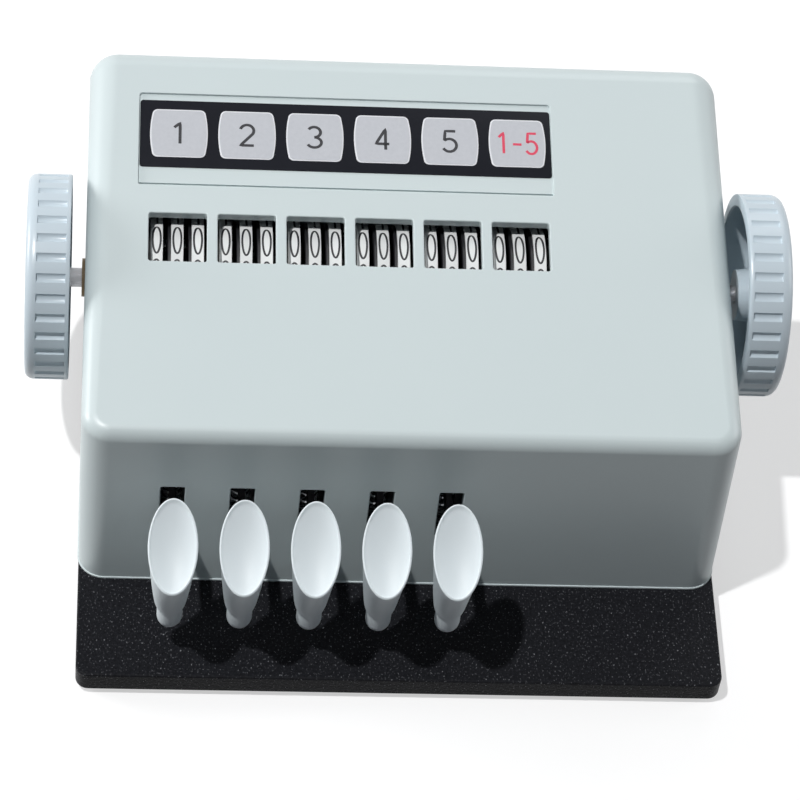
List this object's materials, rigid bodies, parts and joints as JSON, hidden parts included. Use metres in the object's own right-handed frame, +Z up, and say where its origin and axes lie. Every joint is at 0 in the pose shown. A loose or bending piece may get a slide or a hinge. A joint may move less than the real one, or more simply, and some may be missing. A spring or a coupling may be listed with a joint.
{
  "type": "differential cell counter",
  "caption": "Mechanical differential cell counter: a row of key-driven digit counters and a total counter under windows in a sloped case, with a reset knob on each side.",
  "frame": {"origin": "on the bench, under the middle of the whole object's box", "axes": "+X along the row of counters to the user's right, +Y from the keys to the back, +Z up"},
  "size_m": [0.236, 0.183, 0.0958],
  "materials": {
    "case_shell": "smooth moulded plastic, faint gloss",
    "base_black": "black wrinkle paint",
    "rubber": "matt rubber",
    "label_black": "printed black strip",
    "label_pale": "printed pale plates",
    "frame_alloy": "die-cast, unpainted",
    "steel": "plain turned and pressed steel",
    "zinc_screw": "zinc plated",
    "bronze": "oil-filled bronze",
    "knob_plastic": "moulded plastic, light gloss",
    "key_plastic": "moulded plastic, light gloss",
    "pawl_steel": "blackened steel",
    "digit_wheel": "white moulded rim with black figures on a black core",
    "spring_steel": "bright spring wire"
  },
  "bodies": {
    "root": {"housing": "case_shell", "base_plate": "base_black", "feet": "rubber", "label_strip": "label_black", "label_plates": "label_pale", "counter_frame": "frame_alloy", "pivot_rod": "steel", "stop_pad": "rubber", "shaft_bushes": "bronze", "housing_screws": "zinc_screw", "frame_screws": "zinc_screw", "bail_spring": "spring_steel", "key_spring_1": "spring_steel", "key_spring_2": "spring_steel", "key_spring_3": "spring_steel", "key_spring_4": "spring_steel", "key_spring_5": "spring_steel"},
    "key_1": {"key_cap_1": "key_plastic", "key_lever_1": "steel"},
    "pawl_1": {"pawl_1": "pawl_steel"},
    "hundreds_wheel_1": {"hundreds_wheel_1": "digit_wheel"},
    "tens_wheel_1": {"tens_wheel_1": "digit_wheel"},
    "units_wheel_1": {"units_wheel_1": "digit_wheel"},
    "key_2": {"key_cap_2": "key_plastic", "key_lever_2": "steel"},
    "pawl_2": {"pawl_2": "pawl_steel"},
    "hundreds_wheel_2": {"hundreds_wheel_2": "digit_wheel"},
    "tens_wheel_2": {"tens_wheel_2": "digit_wheel"},
    "units_wheel_2": {"units_wheel_2": "digit_wheel"},
    "key_3": {"key_cap_3": "key_plastic", "key_lever_3": "steel"},
    "pawl_3": {"pawl_3": "pawl_steel"},
    "hundreds_wheel_3": {"hundreds_wheel_3": "digit_wheel"},
    "tens_wheel_3": {"tens_wheel_3": "digit_wheel"},
    "units_wheel_3": {"units_wheel_3": "digit_wheel"},
    "key_4": {"key_cap_4": "key_plastic", "key_lever_4": "steel"},
    "pawl_4": {"pawl_4": "pawl_steel"},
    "hundreds_wheel_4": {"hundreds_wheel_4": "digit_wheel"},
    "tens_wheel_4": {"tens_wheel_4": "digit_wheel"},
    "units_wheel_4": {"units_wheel_4": "digit_wheel"},
    "key_5": {"key_cap_5": "key_plastic", "key_lever_5": "steel"},
    "pawl_5": {"pawl_5": "pawl_steel"},
    "hundreds_wheel_5": {"hundreds_wheel_5": "digit_wheel"},
    "tens_wheel_5": {"tens_wheel_5": "digit_wheel"},
    "units_wheel_5": {"units_wheel_5": "digit_wheel"},
    "total_bail": {"total_bail": "steel"},
    "pawl_total": {"pawl_total": "pawl_steel"},
    "hundreds_wheel_total": {"hundreds_wheel_total": "digit_wheel"},
    "tens_wheel_total": {"tens_wheel_total": "digit_wheel"},
    "units_wheel_total": {"units_wheel_total": "digit_wheel"},
    "left_reset": {"left_shaft": "steel", "left_knob": "knob_plastic", "left_knob_screw": "zinc_screw"},
    "right_reset": {"right_shaft": "steel", "right_knob": "knob_plastic", "right_knob_screw": "zinc_screw"}
  },
  "joints": [
    {"name": "key_1_press", "type": "hinge", "parent": "root", "child": "key_1", "pos_m": [-0.07187, -0.01949, 0.03796], "axis": [1, 0, 0], "range_deg": [0, 7.2], "stiffness_Nm_per_rad": 0.2, "springref_deg": -20.05, "deforming": ["key_spring_1"]},
    {"name": "pawl_1_swing", "type": "hinge", "parent": "key_1", "child": "pawl_1", "pos_m": [-0.07187, 0.03651, 0.03297], "axis": [1, 0, 0], "range_deg": [-7, 1]},
    {"name": "hundreds_1_turn", "type": "hinge", "parent": "root", "child": "hundreds_wheel_1", "pos_m": [-0.07823, 0.02141, 0.06287], "axis": [1, 0, 0], "continuous": true},
    {"name": "tens_1_turn", "type": "hinge", "parent": "root", "child": "tens_wheel_1", "pos_m": [-0.07187, 0.02141, 0.06287], "axis": [1, 0, 0], "continuous": true},
    {"name": "units_1_turn", "type": "hinge", "parent": "root", "child": "units_wheel_1", "pos_m": [-0.06552, 0.02141, 0.06287], "axis": [1, 0, 0], "continuous": true},
    {"name": "key_2_press", "type": "hinge", "parent": "root", "child": "key_2", "pos_m": [-0.05063, -0.01949, 0.03796], "axis": [1, 0, 0], "range_deg": [0, 7.2], "stiffness_Nm_per_rad": 0.2, "springref_deg": -20.05, "deforming": ["key_spring_2"]},
    {"name": "pawl_2_swing", "type": "hinge", "parent": "key_2", "child": "pawl_2", "pos_m": [-0.05063, 0.03651, 0.03297], "axis": [1, 0, 0], "range_deg": [-7, 1]},
    {"name": "hundreds_2_turn", "type": "hinge", "parent": "root", "child": "hundreds_wheel_2", "pos_m": [-0.05697, 0.02141, 0.06287], "axis": [1, 0, 0], "continuous": true},
    {"name": "tens_2_turn", "type": "hinge", "parent": "root", "child": "tens_wheel_2", "pos_m": [-0.05063, 0.02141, 0.06287], "axis": [1, 0, 0], "continuous": true},
    {"name": "units_2_turn", "type": "hinge", "parent": "root", "child": "units_wheel_2", "pos_m": [-0.04428, 0.02141, 0.06287], "axis": [1, 0, 0], "continuous": true},
    {"name": "key_3_press", "type": "hinge", "parent": "root", "child": "key_3", "pos_m": [-0.02937, -0.01949, 0.03796], "axis": [1, 0, 0], "range_deg": [0, 7.2], "stiffness_Nm_per_rad": 0.2, "springref_deg": -20.05, "deforming": ["key_spring_3"]},
    {"name": "pawl_3_swing", "type": "hinge", "parent": "key_3", "child": "pawl_3", "pos_m": [-0.02937, 0.03651, 0.03297], "axis": [1, 0, 0], "range_deg": [-7, 1]},
    {"name": "hundreds_3_turn", "type": "hinge", "parent": "root", "child": "hundreds_wheel_3", "pos_m": [-0.03572, 0.02141, 0.06287], "axis": [1, 0, 0], "continuous": true},
    {"name": "tens_3_turn", "type": "hinge", "parent": "root", "child": "tens_wheel_3", "pos_m": [-0.02937, 0.02141, 0.06287], "axis": [1, 0, 0], "continuous": true},
    {"name": "units_3_turn", "type": "hinge", "parent": "root", "child": "units_wheel_3", "pos_m": [-0.02303, 0.02141, 0.06287], "axis": [1, 0, 0], "continuous": true},
    {"name": "key_4_press", "type": "hinge", "parent": "root", "child": "key_4", "pos_m": [-0.00813, -0.01949, 0.03796], "axis": [1, 0, 0], "range_deg": [0, 7.2], "stiffness_Nm_per_rad": 0.2, "springref_deg": -20.05, "deforming": ["key_spring_4"]},
    {"name": "pawl_4_swing", "type": "hinge", "parent": "key_4", "child": "pawl_4", "pos_m": [-0.00813, 0.03651, 0.03297], "axis": [1, 0, 0], "range_deg": [-7, 1]},
    {"name": "hundreds_4_turn", "type": "hinge", "parent": "root", "child": "hundreds_wheel_4", "pos_m": [-0.01448, 0.02141, 0.06287], "axis": [1, 0, 0], "continuous": true},
    {"name": "tens_4_turn", "type": "hinge", "parent": "root", "child": "tens_wheel_4", "pos_m": [-0.00813, 0.02141, 0.06287], "axis": [1, 0, 0], "continuous": true},
    {"name": "units_4_turn", "type": "hinge", "parent": "root", "child": "units_wheel_4", "pos_m": [-0.00178, 0.02141, 0.06287], "axis": [1, 0, 0], "continuous": true},
    {"name": "key_5_press", "type": "hinge", "parent": "root", "child": "key_5", "pos_m": [0.01312, -0.01949, 0.03796], "axis": [1, 0, 0], "range_deg": [0, 7.2], "stiffness_Nm_per_rad": 0.2, "springref_deg": -20.05, "deforming": ["key_spring_5"]},
    {"name": "pawl_5_swing", "type": "hinge", "parent": "key_5", "child": "pawl_5", "pos_m": [0.01312, 0.03651, 0.03297], "axis": [1, 0, 0], "range_deg": [-7, 1]},
    {"name": "hundreds_5_turn", "type": "hinge", "parent": "root", "child": "hundreds_wheel_5", "pos_m": [0.00677, 0.02141, 0.06287], "axis": [1, 0, 0], "continuous": true},
    {"name": "tens_5_turn", "type": "hinge", "parent": "root", "child": "tens_wheel_5", "pos_m": [0.01312, 0.02141, 0.06287], "axis": [1, 0, 0], "continuous": true},
    {"name": "units_5_turn", "type": "hinge", "parent": "root", "child": "units_wheel_5", "pos_m": [0.01947, 0.02141, 0.06287], "axis": [1, 0, 0], "continuous": true},
    {"name": "total_bail_lift", "type": "hinge", "parent": "root", "child": "total_bail", "pos_m": [-0.03, -0.01949, 0.03796], "axis": [1, 0, 0], "range_deg": [0, 7.2], "stiffness_Nm_per_rad": 0.1, "springref_deg": -34.38},
    {"name": "pawl_total_swing", "type": "hinge", "parent": "total_bail", "child": "pawl_total", "pos_m": [0.03438, 0.03651, 0.03297], "axis": [1, 0, 0], "range_deg": [-7, 1]},
    {"name": "hundreds_total_turn", "type": "hinge", "parent": "root", "child": "hundreds_wheel_total", "pos_m": [0.02803, 0.02141, 0.06287], "axis": [1, 0, 0], "continuous": true},
    {"name": "tens_total_turn", "type": "hinge", "parent": "root", "child": "tens_wheel_total", "pos_m": [0.03438, 0.02141, 0.06287], "axis": [1, 0, 0], "continuous": true},
    {"name": "units_total_turn", "type": "hinge", "parent": "root", "child": "units_wheel_total", "pos_m": [0.04072, 0.02141, 0.06287], "axis": [1, 0, 0], "continuous": true},
    {"name": "left_reset_turn", "type": "hinge", "parent": "root", "child": "left_reset", "pos_m": [-0.111, 0.02141, 0.06287], "axis": [1, 0, 0], "continuous": true},
    {"name": "right_reset_turn", "type": "hinge", "parent": "root", "child": "right_reset", "pos_m": [0.111, 0.02141, 0.06287], "axis": [1, 0, 0], "continuous": true}
  ],
  "couplings": [
    {"joint": "pawl_1_swing", "follows": "key_1_press", "ratio": -0.9},
    {"joint": "units_1_turn", "follows": "key_1_press", "ratio": 5},
    {"joint": "pawl_2_swing", "follows": "key_2_press", "ratio": -0.9},
    {"joint": "units_2_turn", "follows": "key_2_press", "ratio": 5},
    {"joint": "pawl_3_swing", "follows": "key_3_press", "ratio": -0.9},
    {"joint": "units_3_turn", "follows": "key_3_press", "ratio": 5},
    {"joint": "pawl_4_swing", "follows": "key_4_press", "ratio": -0.9},
    {"joint": "units_4_turn", "follows": "key_4_press", "ratio": 5},
    {"joint": "pawl_5_swing", "follows": "key_5_press", "ratio": -0.9},
    {"joint": "units_5_turn", "follows": "key_5_press", "ratio": 5},
    {"joint": "pawl_total_swing", "follows": "total_bail_lift", "ratio": -0.9},
    {"joint": "units_total_turn", "follows": "total_bail_lift", "ratio": 5}
  ]
}
